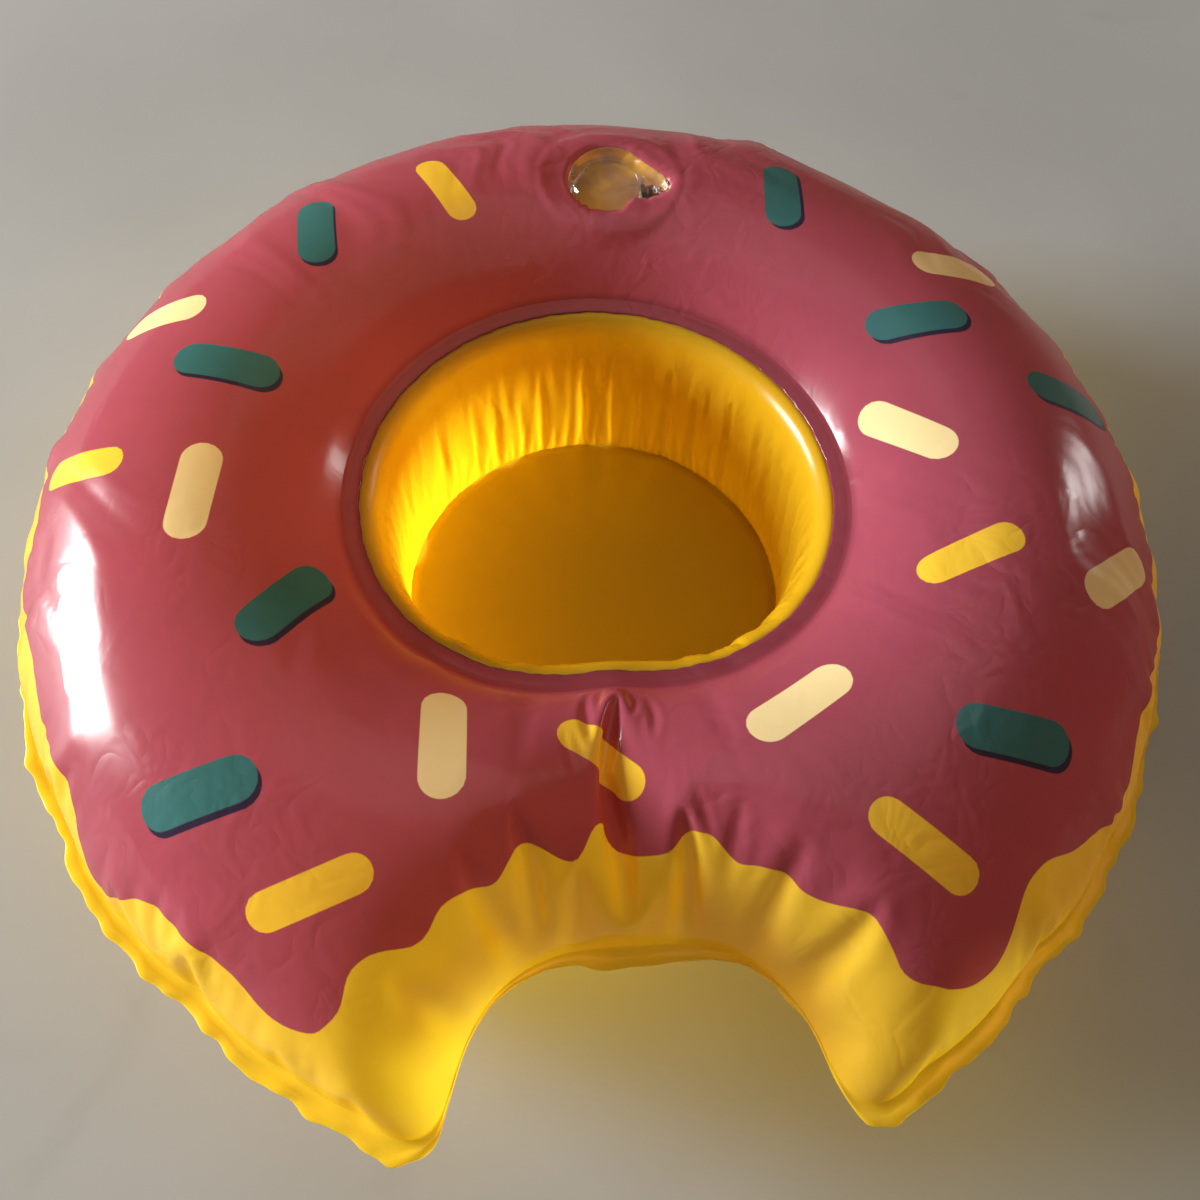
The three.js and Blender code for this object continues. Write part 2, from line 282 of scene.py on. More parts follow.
def low_pass(points, width):
    """Rows of points smoothed round the ring by a Gaussian `width` stations wide: each row's
    Fourier terms are multiplied by exp(-(width * angular frequency)^2 / 2)."""
    keep = np.exp(-0.5 * (width * 2 * np.pi * np.fft.rfftfreq(len(points))) ** 2)
    keep = keep.reshape((-1,) + (1,) * (points.ndim - 1))
    return np.fft.irfft(np.fft.rfft(points, axis=0) * keep, len(points), axis=0)


# The seam's short ruffles are toned down, most on the seam and less further in on each sheet.
EDGE_LENGTH, RUFFLE, TONED_DOWN = 703.0, 7.0, 0.85
top_rows, wall_rows, low_rows = rows
per_mm = stations / EDGE_LENGTH
seam_band = np.arange(-14 * top_rows // 64, 14 * top_rows // 64 + 1)
near_seam = film[:, seam_band]
rough = near_seam - low_pass(near_seam, RUFFLE * per_mm)
rough -= low_pass(rough, RUFFLE * per_mm)
ease = TONED_DOWN * (1 - np.abs(seam_band) / (seam_band[-1] + 1))
film[:, seam_band] -= ease[:, None] * rough

# The sleeve bulges in below the weld, more than its own pressed shape does, and draws the
# weld down a little.
DEPTHS = [0.0, 1.0, 3.0, 6.5, 9.5, 12.5, 16.5, 20.0]
BULGE = [2.6, 3.2, 3.7, 2.9, 2.3, 1.5, 0.6, 0.0]
WELD_DROP = 0.6
rim = film[:, top_rows].copy()
inward = (rim.mean(0) - rim) * [1, 1, 0]
inward = low_pass(inward / np.linalg.norm(inward, axis=1)[:, None], 4 * per_mm)
depth = np.arange(wall_rows + 1) * SLEEVE_CUT / wall_rows
film[:, top_rows : top_rows + wall_rows + 1] += (
    np.interp(depth, DEPTHS, BULGE)[:, None] * inward[:, None]
)
film[:, top_rows, 2] -= WELD_DROP
sleeve = film[:, top_rows : top_rows + wall_rows + 1].copy()
normals = surface_normals(film)

# Small dents that the film keeps from being folded flat, on the cut pattern of the upper sheet.
flat = sheets[0][..., :2]


def dents(x, y, wavelength, swirl):
    """A soft pattern of ridges about `wavelength` mm apart whose crests wander: the sine of
    one direction, warped by the sine of the other, and raised to leave narrow ridges."""
    k = 2 * np.pi / wavelength
    warp = swirl * np.sin(0.43 * k * y + 1.3 * np.sin(0.31 * k * x))
    return np.sin(k * x * 0.8 + k * y * 0.6 + warp) ** 3


def patch(centre, radius):
    """1 at centre, falling to 0 at radius on the cut pattern, as a smooth bell."""
    away = np.hypot(flat[..., 0] - centre[0], flat[..., 1] - centre[1]) / radius
    return np.clip(1 - away**2, 0, 1) ** 2


# Each patch of dents: its middle, its radius, its wavelength, swirl and height.
DENTS = [
    ((-48.0, 58.0), 30.0, 15.0, 1.6, 0.35),
    ((-12.0, 74.0), 24.0, 11.0, 2.2, 0.30),
    ((30.0, 74.0), 26.0, 12.0, 1.8, 0.30),
    ((72.0, 50.0), 26.0, 13.0, 1.5, 0.30),
    ((-84.0, -8.0), 24.0, 12.0, 1.4, 0.30),
    ((82.0, -18.0), 26.0, 14.0, 1.6, 0.25),
    ((-38.0, -28.0), 16.0, 9.0, 2.0, 0.18),
    ((44.0, -18.0), 20.0, 12.0, 1.8, 0.15),
]
lift = np.zeros(flat.shape[:2])
for centre, radius, wavelength, swirl, height in DENTS:
    lift += height * patch(centre, radius) * dents(flat[..., 0], flat[..., 1], wavelength, swirl)

# The valve's hole in the upper sheet, and the flange that is welded under it.
VALVE_HEAD, VALVE_TIP, TONGUE, TONGUE_TURN = 7.6, 1.2, 10.4, np.radians(-12.0)
FLANGE, FLANGE_SHOWS, HOLE_SINK = 13.8, 0.3, 2.4
UPPER_SIDE = 30.0
body_low, body_high = [np.array(corner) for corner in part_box("valve_body")]
valve_axis = ((body_low + body_high) / 2 - CUP_AXIS)[:2] / MM


def pear(turn):
    """Radius of the valve's pear-shaped outline at each bearing from its head's centre: the
    head's circle, then the tangent that leads to the tongue's tip, eased where they meet."""
    normal = np.arccos((VALVE_HEAD - VALVE_TIP) / TONGUE)
    turn = np.abs(np.arctan2(np.sin(turn - TONGUE_TURN), np.cos(turn - TONGUE_TURN)))
    side = VALVE_HEAD / np.cos(np.minimum(turn - normal, 0))
    tip = (TONGUE + VALVE_TIP) / np.maximum(np.cos(turn), 0.2)
    return np.where(turn < normal, -np.log(np.exp(-3 * side) + np.exp(-3 * tip)) / 3, VALVE_HEAD)


def lapped(turn):
    """How far the film laps over the clear cap: a bell at the tongue's near side."""
    away = np.arctan2(np.sin(turn + 0.95), np.cos(turn + 0.95))
    return 1.6 * np.exp(-((away / 0.3) ** 2))


def from_valve(points):
    """Bearing from the valve's axis, distance from it, and distance outside its outline."""
    x, y = points[..., 0] - valve_axis[0], points[..., 1] - valve_axis[1]
    turn, away = np.arctan2(y, x), np.hypot(x, y)
    return turn, away, away - pear(turn) + lapped(turn)


# Round the valve the film settles towards a plane, shows the flange under it as a low step,
# and sinks inside the hole's outline, where the stopper covers it.
upper = film[:, : top_rows + 1]
_, away, outside = from_valve(upper)
around = (away > 8) & (away < 14) & (upper[..., 2] > UPPER_SIDE)
slope = np.column_stack([upper[around][:, :2] - valve_axis, np.ones(around.sum())])
valve_plane = np.linalg.lstsq(slope, upper[around][:, 2], rcond=None)[0]
on_plane = (upper[..., :2] - valve_axis) @ valve_plane[:2] + valve_plane[2]
settle = np.clip((15 - away) / 6, 0, 1) * (upper[..., 2] > UPPER_SIDE)
settle = settle**2 * (3 - 2 * settle)
lift *= 1 - settle
flange = np.clip((FLANGE - away) / 0.9, 0, 1) * np.clip((outside + 0.2) / 0.6, 0, 1)
sunk = np.clip((0.4 - outside) / 1.1, 0, 1)
moved = upper + lift[..., None] * normals[:, : top_rows + 1]
moved[..., 2] += 0.8 * settle * (on_plane - upper[..., 2])
moved[..., 2] += (FLANGE_SHOWS * flange - HOLE_SINK * sunk**2 * (3 - 2 * sunk)) * (settle > 0)
film[:, :top_rows] = moved[:, :top_rows]

# The welded edge stands out from the seam as a thin fin that crinkles a little.
FIN_WIDTH, FIN_HALF = 3.0, 0.2
seam = low_pass(film[:, 0], 1.5 * per_mm)
outward = low_pass(2 * film[:, 0] - film[:, 4] - film[:, -4], 5 * per_mm)
outward /= np.linalg.norm(outward, axis=1)[:, None]
run = low_pass(np.roll(seam, -1, 0) - np.roll(seam, 1, 0), 3 * per_mm)
face = np.cross(outward, run)
face *= np.sign(face[:, 2:]) / np.linalg.norm(face, axis=1)[:, None]
walk = 2 * np.pi * np.arange(stations) / stations


def waves(*terms):
    """The sum of sines round the ring, each with a height in mm, a count and a phase."""
    return sum(height * np.sin(count * walk + phase) for height, count, phase in terms)


ragged = waves((0.22, 61, 0), (0.16, 97, 1), (0.12, 143, 2))
crinkle = waves((0.15, 53, 2 * np.sin(7 * walk)), (0.1, 89, 1))
width = (FIN_WIDTH + ragged)[:, None]
shares = [(0.0, -1), (0.5, -1), (0.95, -1), (1.0, 0), (0.95, 1), (0.5, 1), (0.0, 1)]
fin = np.stack(
    [
        seam + s * width * outward + (side * FIN_HALF + crinkle[:, None] * s**1.5) * face
        for s, side in shares
    ],
    1,
)

# The weld band round the mouth is a flat strip of the printed sheet that ends in a cut edge.
# Painted shade: the band's colour is later darkened part of the way to a dark purple.
LIP_WIDTH, LIP_DROP, BAND_SHADE_AMOUNT = 3.0, 0.5, 0.4
lip_edge = (LIP_WIDTH + waves((0.06, 31, 0), (0.05, 74, 0)))[:, None]
lip_shares = [(0.0, 0.0), (0.04, -0.12), (0.3, -0.02), (0.65, 0.0), (0.92, 0.0), (1.0, -0.12)]
lip = [rim + s * (lip_edge * inward - LIP_DROP * UP) + lift_up * UP for s, lift_up in lip_shares]
under_lip = rim + 0.93 * (lip_edge * inward - LIP_DROP * UP) - 0.35 * UP
lip = np.stack(lip + [under_lip], 1)

# The ring's whole skin is one grid: the fin, the upper sheet, the lip, the wall set back behind
# the sleeve, and the lower sheet, with fewer rows where little is seen.
RECESS = 0.45
wall_at = np.arange(max(1, wall_rows // 8), wall_rows + 1, max(1, wall_rows // 8))
wall = film[:, top_rows + wall_at] - RECESS * normals[:, top_rows + wall_at]
low_at = np.r_[np.arange(2, 3 * low_rows // 4, 2), np.arange(3 * low_rows // 4, low_rows)]
shell = np.concatenate(
    [fin, film[:, 1:top_rows], lip, wall, film[:, top_rows + wall_rows + low_at]], 1
)


def closed_grid(name, points):
    """A mesh of quads over a grid of points in mm that closes on itself both ways."""
    n, m = points.shape[:2]
    i, j = np.meshgrid(np.arange(n), np.arange(m), indexing="ij")
    a, b = i * m + j, (i + 1) % n * m + j
    c, d = (i + 1) % n * m + (j + 1) % m, i * m + (j + 1) % m
    mesh = bpy.data.meshes.new(name)
    mesh.vertices.add(n * m)
    mesh.vertices.foreach_set("co", (points.reshape(-1, 3) * MM + CUP_AXIS).ravel())
    mesh.loops.add(4 * n * m)
    mesh.loops.foreach_set("vertex_index", np.stack([a, b, c, d], 2).ravel().astype(np.int32))
    mesh.polygons.add(n * m)
    mesh.polygons.foreach_set("loop_start", np.arange(0, 4 * n * m, 4, dtype=np.int32))
    mesh.update(calc_edges=True)
    mesh.validate()
    mesh.shade_smooth()
    piece = bpy.data.objects.new(name, mesh)
    bpy.context.scene.collection.objects.link(piece)
    return piece


def paint(piece, name, values):
    """A value on each vertex of the piece, for its material to read."""
    channel = piece.data.attributes.new(name, "FLOAT", "POINT")
    channel.data.foreach_set("value", np.asarray(values, np.float32).ravel())


# The print, drawn on the cut pattern in mm from the hole's axis. The icing's edge is even
# scallops round the back and single drips in front, each a (bearing in degrees, width in
# degrees, reach in mm) bell on a plain circle round the hole's axis or the bite's centre. A
# sprinkle is an ink, its middle's x and y in mm, and its turn in degrees.
SCALLOPS, SCALLOP_REACH = 24, 1.3
ICING_REACH, BITE_ICING_REACH = 93.5, 61.0
DRIPS = [
    (215.5, 4.5, 9), (237, 4, 3), (270, 18, -3), (302.5, 3.5, 3.5), (311, 4, -4.5),
    (324, 4.5, 4.5), (342, 4, 3.5),
]
BITE_DRIPS = [
    (27, 17.5, 6), (48, 3, -1.6), (57, 4, 2), (70, 3.5, 1.3), (79, 3.5, 3.7), (95, 2.7, 5),
    (105, 4, 4.3), (116, 4, 3), (127.5, 4.5, 4), (150, 18, 6),
]
INKS = {
    "teal": (0.04, 0.16, 0.17),
    "cream": (0.84, 0.73, 0.38),
    "yellow": (0.88, 0.60, 0.045),
}
SPRINKLES = [
    ("yellow", -23, 60, 117), ("teal", -45.5, 51, 96), ("cream", -71.5, 36, 172),
    ("teal", -58, 21, 165), ("yellow", -81, 5.5, 168), ("cream", -60.7, -3.5, 83),
    ("teal", -46.5, -22.3, 49), ("cream", -78, -25, 100), ("teal", -58.8, -50, 10),
    ("yellow", -45.3, -64.7, 14), ("cream", -26, -47, 82), ("yellow", -3, -51.8, 143),
    ("cream", 26, -44, 38), ("yellow", 41.5, -64.2, 144), ("teal", 55.2, -49.2, 170),
    ("yellow", 53.7, -21, 20), ("cream", 49, 3.8, 138), ("teal", 55, 25, 5),
    ("cream", 78.3, -23.6, 30), ("teal", 79.5, 10.5, 174), ("cream", 66, 38.8, 3),
    ("teal", 37, 56, 83),
]
BARE, ICED, NO_INK, FAR_OFF = -6.0, 6.0, -9.0, 30.0
SPRINKLE_LENGTH = 17.5
SPRINKLE_WIDTHS = {"teal": 6.4, "cream": 6.3, "yellow": 5.3}


def drips(bearing, places):
    """The sum, at each bearing in degrees, of a flat-topped bell for every drip."""
    found = np.zeros(bearing.shape)
    for place, width, reach in places:
        away = (bearing - place + 180) % 360 - 180
        found += reach * np.exp(-np.abs(away / width) ** 2.5)
    return found


def inside_capsule(x, y, centre_x, centre_y, degrees, width):
    """How far inside a sprinkle a point lies: its half width less the distance to its spine."""
    u = np.cos(np.radians(degrees)), np.sin(np.radians(degrees))
    x, y = x - centre_x, y - centre_y
    half = (SPRINKLE_LENGTH - width) / 2
    along = np.clip(x * u[0] + y * u[1], -half, half)
    return width / 2 - np.hypot(x - along * u[0], y - along * u[1])


cut_x, cut_y = flat[:, :-1, 0], flat[:, :-1, 1]
bearing = np.degrees(np.arctan2(cut_y, cut_x)) % 360
bite_bearing = np.degrees(np.arctan2(cut_y - BITE_CENTRE, cut_x)) % 360
behind = 1 - np.exp(-(((bearing - 270) / 70) ** 8))
scallops = SCALLOP_REACH * behind * np.cos(SCALLOPS * np.radians(bearing - 97))
icing_edge = ICING_REACH + scallops + drips(bearing, DRIPS)
bite_edge = BITE_ICING_REACH + drips(bite_bearing, BITE_DRIPS)
from_axis, from_bite = np.hypot(cut_x, cut_y), np.hypot(cut_x, cut_y - BITE_CENTRE)
icing = np.minimum(icing_edge - from_axis, from_bite - bite_edge)
sprinkle, shadow = np.full(cut_x.shape, NO_INK), np.full(cut_x.shape, NO_INK)
ink = np.ones(cut_x.shape + (4,))
for colour, x, y, degrees in SPRINKLES:
    width = SPRINKLE_WIDTHS[colour]
    inside = inside_capsule(cut_x, cut_y, x, y, degrees, width)
    ink[inside > sprinkle, :3] = INKS[colour]
    sprinkle = np.maximum(sprinkle, inside)
    if colour == "teal":
        shadow = np.maximum(shadow, inside_capsule(cut_x, cut_y, x + 0.5, y - 0.9, degrees, width))
hole_edge = from_valve(film[:, :top_rows])[2]
hole_edge[film[:, :top_rows, 2] < UPPER_SIDE] = FAR_OFF


def on_shell(top, fin_value, lip_value, rest):
    """The top film's values with one value for the fin, one for the lip, one for the rest."""
    fins = np.full((stations, fin.shape[1]) + top.shape[2:], fin_value, float)
    lips = np.full((stations, lip.shape[1]) + top.shape[2:], lip_value, float)
    others = shell.shape[1] - fin.shape[1] - lip.shape[1] - (top_rows - 1)
    others = np.full((stations, others) + top.shape[2:], rest, float)
    return np.concatenate([fins, top[:, 1:], lips, others], 1)


ring = closed_grid("air_ring_film", shell)
paint(ring, "icing", on_shell(icing, BARE, ICED, BARE))
paint(ring, "sprinkle", on_shell(sprinkle, NO_INK, NO_INK, NO_INK))
paint(ring, "shadow", on_shell(shadow, NO_INK, NO_INK, NO_INK))
paint(ring, "hole_edge", on_shell(hole_edge, FAR_OFF, FAR_OFF, FAR_OFF))
paint(ring, "weld", on_shell(np.zeros(cut_x.shape), 1, 0, 0))
# Painted shade on the lip: how far the band's colour is darkened.
paint(ring, "band", on_shell(np.zeros(cut_x.shape), 0, BAND_SHADE_AMOUNT, 0))

# The face that lies against the sleeve is marked, because the light passes it unchanged.
behind_sleeve = np.zeros(shell.shape[:2])
first_wall = fin.shape[1] + top_rows - 1 + lip.shape[1]
behind_sleeve[:, first_wall : first_wall + wall.shape[1]] = 1
paint(ring, "hidden", behind_sleeve)
inks = ring.data.attributes.new("ink", "FLOAT_COLOR", "POINT")
inks.data.foreach_set("color", on_shell(ink, 1, 1, 1).astype(np.float32).ravel())


def node(tree, kind, inputs=(), **settings):
    """A node with its settings, and its inputs set to constants or linked from sockets."""
    made = tree.nodes.new(kind)
    for key, value in settings.items():
        setattr(made, key, value)
    for key, value in dict(inputs).items():
        if isinstance(value, bpy.types.NodeSocket):
            tree.links.new(value, made.inputs[key])
        else:
            made.inputs[key].default_value = value
    return made


def painted(tree, name):
    """The value that a vertex carries under that name."""
    return node(tree, "ShaderNodeAttribute", attribute_name=name).outputs["Fac"]


def threshold(tree, value, low, high):
    """0 below low and 1 above high, with a smooth step between."""
    inputs = {"Value": value, "From Min": low, "From Max": high}
    return node(tree, "ShaderNodeMapRange", inputs, interpolation_type="SMOOTHSTEP").outputs[0]


def mix(tree, factor, first, second, blend="MIX"):
    """Two colours mixed by factor, or the first one blended with the second."""
    made = node(tree, "ShaderNodeMix", {0: factor}, data_type="RGBA", blend_type=blend)
    for place, value in ((6, first), (7, second)):
        if isinstance(value, bpy.types.NodeSocket):
            tree.links.new(value, made.inputs[place])
        else:
            made.inputs[place].default_value = (*value, 1)
    return made.outputs[2]


def mix_numbers(tree, factor, first, second):
    """A number between the first and the second."""
    inputs = {"Value": factor, "To Min": first, "To Max": second}
    return node(tree, "ShaderNodeMapRange", inputs).outputs[0]


def calculate(tree, operation, *values):
    """One sum on plain values."""
    return node(tree, "ShaderNodeMath", enumerate(values), operation=operation).outputs[0]


def new_material(name, glow=(1.0, 1.0, 1.0), share=0.0, tint=None):
    """An empty material's tree with one Principled shader joined to the output. Film is thin,
    so `share` of the light that meets it is scattered on through it in the glow's colour, and
    the tint is how much of each colour of a lamp's light its shadow still lets by."""
    material = bpy.data.materials.new(name)
    material.use_nodes = True
    tree = material.node_tree
    tree.nodes.clear()
    shader = node(tree, "ShaderNodeBsdfPrincipled")
    surface = shader.outputs[0]
    if share:
        through = node(tree, "ShaderNodeBsdfTranslucent", {"Color": (*glow, 1)}, name="glow")
        inputs = {0: share, 1: surface, 2: through.outputs[0]}
        surface = node(tree, "ShaderNodeMixShader", inputs, name="share").outputs[0]
    if tint is not None:
        clear = node(tree, "ShaderNodeBsdfTransparent", {"Color": (*tint, 1)}, name="tint")
        shaded = node(tree, "ShaderNodeLightPath").outputs["Is Shadow Ray"]
        inputs = {0: shaded, 1: surface, 2: clear.outputs[0]}
        surface = node(tree, "ShaderNodeMixShader", inputs).outputs[0]
    node(tree, "ShaderNodeOutputMaterial", {"Surface": surface})
    return material, tree, shader


# Soft vinyl's surface: faint crinkles in patches, and rubbed patches that shine less.
vinyl = bpy.data.node_groups.new("soft_vinyl", "ShaderNodeTree")
for name, kind in (("Crinkle", "NodeSocketFloat"), ("Base Roughness", "NodeSocketFloat")):
    vinyl.interface.new_socket(name=name, in_out="INPUT", socket_type=kind)
for name, kind in (("Normal", "NodeSocketVector"), ("Roughness", "NodeSocketFloat")):
    vinyl.interface.new_socket(name=name, in_out="OUTPUT", socket_type=kind)
given = node(vinyl, "NodeGroupInput")
spot = node(vinyl, "ShaderNodeTexCoord").outputs["Object"]
folds = node(
    vinyl,
    "ShaderNodeTexNoise",
    {"Vector": spot, "Scale": 130.0, "Detail": 2.0, "Roughness": 0.5, "Distortion": 0.6},
)
ridge = calculate(vinyl, "ABSOLUTE", calculate(vinyl, "SUBTRACT", folds.outputs["Fac"], 0.5))
patches = node(vinyl, "ShaderNodeTexNoise", {"Vector": spot, "Scale": 16.0, "Detail": 1.0})
patches = threshold(vinyl, patches.outputs["Fac"], 0.42, 0.62)
ridge = calculate(vinyl, "MULTIPLY", ridge, calculate(vinyl, "MULTIPLY_ADD", patches, 0.8, 0.2))
ridge = calculate(vinyl, "MULTIPLY", ridge, given.outputs["Crinkle"])
bent = node(vinyl, "ShaderNodeBump", {"Height": ridge, "Strength": 1.0, "Distance": 0.0012})
rub = node(vinyl, "ShaderNodeTexNoise", {"Vector": spot, "Scale": 45.0, "Detail": 2.0})
rub = calculate(vinyl, "MULTIPLY", threshold(vinyl, rub.outputs["Fac"], 0.45, 0.75), 0.12)
rough_out = calculate(vinyl, "ADD", given.outputs["Base Roughness"], rub)
node(vinyl, "NodeGroupOutput", {"Normal": bent.outputs[0], "Roughness": rough_out})


def dress(tree, shader, colour, crinkle, base_roughness):
    """The shader takes its colour, and its normal and roughness from the shared surface."""
    made = node(tree, "ShaderNodeGroup", node_tree=vinyl)
    made.inputs["Crinkle"].default_value = crinkle
    made.inputs["Base Roughness"].default_value = base_roughness
    tree.links.new(colour, shader.inputs["Base Color"])
    tree.links.new(made.outputs["Normal"], shader.inputs["Normal"])
    tree.links.new(made.outputs["Roughness"], shader.inputs["Roughness"])


VINYL_IOR = 1.52
PINK, YELLOW, NAVY = (0.36, 0.077, 0.125), (0.90, 0.62, 0.05), (0.03, 0.022, 0.06)
EDGE_YELLOW, BAND_SHADE_PURPLE = (0.98, 0.70, 0.04), (0.13, 0.018, 0.03)
SEEN_DARK, SEEN_LIT_PAINT = (0.22, 0.12, 0.14), (0.80, 0.50, 0.05)
BARE_SHARE, ICED_SHARE, SPRINKLED_SHARE = 0.43, 0.36, 0.25
BARE_GLOW, PRINT_GLOW, HIDDEN_GLOW = (1.0, 0.86, 0.06), (1.4, 1.1, 0.35), (1.0, 1.0, 1.0)
BARE_TINT, ICED_TINT = (0.80, 0.70, 0.36), (0.096, 0.020, 0.016)
SPRINKLED_TINT, HIDDEN_TINT = (0.16, 0.16, 0.10), (0.8, 0.8, 0.8)
printed, tree, shader = new_material("printed_vinyl", BARE_GLOW, BARE_SHARE, BARE_TINT)
spot = node(tree, "ShaderNodeTexCoord").outputs["Object"]
mottle = node(tree, "ShaderNodeTexNoise", {"Vector": spot, "Scale": 60.0, "Detail": 3.0})
mottle = mix_numbers(tree, mottle.outputs["Fac"], 0.88, 1.08)
iced = threshold(tree, painted(tree, "icing"), -0.12, 0.12)
shaded = threshold(tree, painted(tree, "shadow"), -0.1, 0.1)
sprinkled = threshold(tree, painted(tree, "sprinkle"), -0.1, 0.1)
cut_away = threshold(tree, painted(tree, "hole_edge"), 0.1, -0.1)
hidden = painted(tree, "hidden")
inked = node(tree, "ShaderNodeAttribute", attribute_name="ink").outputs["Color"]
colour = mix(tree, iced, YELLOW, PINK)
colour = mix(tree, shaded, colour, NAVY)
colour = mix(tree, sprinkled, colour, inked)
# Inside the valve's outline the film is painted with a view through the clear stopper: painted
# patches of the ring's lit yellow inside, on a dark purple-grey.
painted_view_through = mix(tree, threshold(tree, mottle, 0.93, 1.0), SEEN_DARK, SEEN_LIT_PAINT)
colour = mix(tree, cut_away, colour, painted_view_through)
colour = mix(tree, painted(tree, "weld"), colour, EDGE_YELLOW)
# Painted shade: the lip band is darkened towards a dark purple.
colour = mix(tree, painted(tree, "band"), colour, BAND_SHADE_PURPLE)
grey = node(tree, "ShaderNodeCombineColor", {"Red": mottle, "Green": mottle, "Blue": mottle})
colour = mix(tree, 1.0, colour, grey.outputs[0], "MULTIPLY")

# How the light goes through: well where the film is bare, less through the icing's ink, least
# through a sprinkle's. The face that lies against the sleeve adds nothing of its own.
lit_through = mix(tree, 1.0, colour, PRINT_GLOW, "MULTIPLY")
lit_through = mix(tree, iced, BARE_GLOW, lit_through)
lit_through = mix(tree, hidden, lit_through, HIDDEN_GLOW)
passed_on = mix_numbers(tree, sprinkled, ICED_SHARE, SPRINKLED_SHARE)
passed_on = mix_numbers(tree, iced, BARE_SHARE, passed_on)
passed_on = mix_numbers(tree, hidden, passed_on, 1.0)
tint = mix(tree, iced, BARE_TINT, ICED_TINT)
tint = mix(tree, sprinkled, tint, SPRINKLED_TINT)
tint = mix(tree, hidden, tint, HIDDEN_TINT)
tree.links.new(passed_on, tree.nodes["share"].inputs[0])
tree.links.new(tint, tree.nodes["tint"].inputs["Color"])
tree.links.new(lit_through, tree.nodes["glow"].inputs["Color"])
dress(tree, shader, colour, 0.34, 0.17)
shader.inputs["IOR"].default_value = VINYL_IOR
ring.data.materials.append(printed)
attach(ring, "root")
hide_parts("air_ring")

# ---------------------------------------------------------------------------------------------
# Cup sleeve. A strip of unprinted yellow vinyl, joined into a tube, lines the hole. It is
# welded to the upper sheet round the mouth and to the lower sheet and the cup's floor round
# the foot, where it is gathered into soft pleats.
# ---------------------------------------------------------------------------------------------
SLEEVE_THICKNESS = 0.25
inner = sleeve - 0.02 * normals[:, top_rows : top_rows + wall_rows + 1]
outer = inner - SLEEVE_THICKNESS * normals[:, top_rows : top_rows + wall_rows + 1]
lining = closed_grid("cup_sleeve_film", np.concatenate([inner, outer[:, ::-1]], 1))
paint(lining, "hidden", np.repeat([[0.0, 1.0]], stations, 0).repeat(inner.shape[1], 1))
SLEEVE_SHARE, SLEEVE_GLOW, SLEEVE_TINT = 0.5, (0.78, 0.50, 0.013), (0.30, 0.22, 0.036)


def clouded(tree, scale, darker, lighter):
    """Two close colours in soft clouds, `scale` to the metre."""
    place = node(tree, "ShaderNodeTexCoord").outputs["Object"]
    cloud = node(tree, "ShaderNodeTexNoise", {"Vector": place, "Scale": scale, "Detail": 4.0})
    return mix(tree, threshold(tree, cloud.outputs["Fac"], 0.3, 0.7), darker, lighter)


yellow, tree, shader = new_material("yellow_vinyl", SLEEVE_GLOW, SLEEVE_SHARE, SLEEVE_TINT)
colour = clouded(tree, 40.0, (0.83, 0.54, 0.014), (0.88, 0.58, 0.018))
hidden = painted(tree, "hidden")
glow = mix(tree, hidden, SLEEVE_GLOW, HIDDEN_GLOW)
tint = mix(tree, hidden, SLEEVE_TINT, HIDDEN_TINT)
tree.links.new(mix_numbers(tree, hidden, SLEEVE_SHARE, 1.0), tree.nodes["share"].inputs[0])
tree.links.new(glow, tree.nodes["glow"].inputs["Color"])
tree.links.new(tint, tree.nodes["tint"].inputs["Color"])
dress(tree, shader, colour, 0.06, 0.26)
shader.inputs["IOR"].default_value = VINYL_IOR
lining.data.materials.append(yellow)
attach(lining, "root")
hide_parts("cup_sleeve")

# ---------------------------------------------------------------------------------------------
# Cup floor. A flat disc of yellow vinyl, welded round its edge to the sleeve's foot and to the
# lower sheet. It hangs clear of the table and sags a little.
# ---------------------------------------------------------------------------------------------
FLOOR_THICKNESS, FLOOR_SAG, FLOOR_LIFT = 0.3, 0.7, 0.05


def closed_stack(name, loops, first_pole, last_pole):
    """A mesh from loops of points in mm, one above the next, closed by a point at each end."""
    n = len(loops[0])
    points = np.concatenate([[first_pole], np.concatenate(loops), [last_pole]])
    i = np.arange(n)
    after = (i + 1) % n
    low = 1 + n * np.arange(len(loops) - 1)[:, None]
    last, pole = 1 + (len(loops) - 1) * n, np.full(n, len(points) - 1)
    quads = np.stack([low + i, low + after, low + n + after, low + n + i], 2).reshape(-1, 4)
    faces = np.stack([0 * i, 1 + after, 1 + i], 1).tolist() + quads.tolist()
    faces += np.stack([last + i, last + after, pole], 1).tolist()
    mesh = bpy.data.meshes.new(name)
    mesh.from_pydata((points * MM + CUP_AXIS).tolist(), [], faces)
    mesh.validate()
    mesh.shade_smooth()
    piece = bpy.data.objects.new(name, mesh)
    bpy.context.scene.collection.objects.link(piece)
    return piece


foot = low_pass(sleeve[:, -1], 2 * per_mm)
centre = foot.mean(0)
spread = np.linspace(0, 1, 13)[1:] ** 0.7
waver = waves((0.25, 9, 0), (0.15, 23, 1))
upper_loops = [
    centre + s * 1.006 * (foot - centre)
    + (FLOOR_LIFT - FLOOR_SAG * (1 - s**2) + waver[:, None] * s**4) * UP
    for s in spread
]
lower_loops = [loop - FLOOR_THICKNESS * UP for loop in upper_loops]
base = closed_stack(
    "cup_floor_film",
    lower_loops + upper_loops[::-1],
    centre - (FLOOR_SAG + FLOOR_THICKNESS) * UP,
    centre - (FLOOR_SAG - FLOOR_LIFT) * UP,
)
FLOOR_GLOW = (0.88, 0.66, 0.012)
shaded_floor_yellow, tree, shader = new_material("floor_vinyl", FLOOR_GLOW, SLEEVE_SHARE, SLEEVE_TINT)
